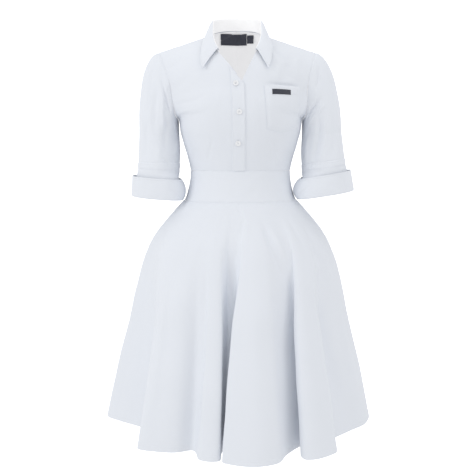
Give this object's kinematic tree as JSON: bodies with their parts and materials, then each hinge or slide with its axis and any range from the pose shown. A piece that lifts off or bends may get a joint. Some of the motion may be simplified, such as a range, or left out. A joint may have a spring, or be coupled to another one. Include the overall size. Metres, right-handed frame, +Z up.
{
  "type": "nurse uniform dress",
  "caption": "White shirtwaist uniform dress, worn shape and hollow: pointed collar, buttoned front, chest pocket, turned-back cuffs, shaped waistband, full flared skirt.",
  "frame": {"origin": "centre of the base of the neck, between the shoulder seams, where the wearer's neck and shoulders carry the dress", "axes": "+Z up along the wearer, -Y out of the dress's front, +X towards the wearer's left"},
  "size_m": [0.6495, 0.5473, 0.9627],
  "materials": {
    "white_cloth": "matt, smooth plain-weave uniform cotton mix",
    "buttons": "semi-gloss white shirt buttons",
    "woven_label": "matt dark woven tape, bare"
  },
  "bodies": {
    "root": {"bodice_front_right": "white_cloth", "bodice_front_left": "white_cloth", "bodice_back": "white_cloth", "collar": "white_cloth", "placket": "white_cloth", "chest_pocket": "white_cloth", "sleeve_right": "white_cloth", "sleeve_left": "white_cloth", "cuff_right": "white_cloth", "cuff_left": "white_cloth", "waistband_front": "white_cloth", "waistband_back": "white_cloth", "skirt_front": "white_cloth", "skirt_back": "white_cloth", "button_1": "buttons", "button_2": "buttons", "button_3": "buttons", "pocket_tab": "woven_label", "neck_label": "woven_label", "size_tab": "woven_label"}
  },
  "joints": []
}
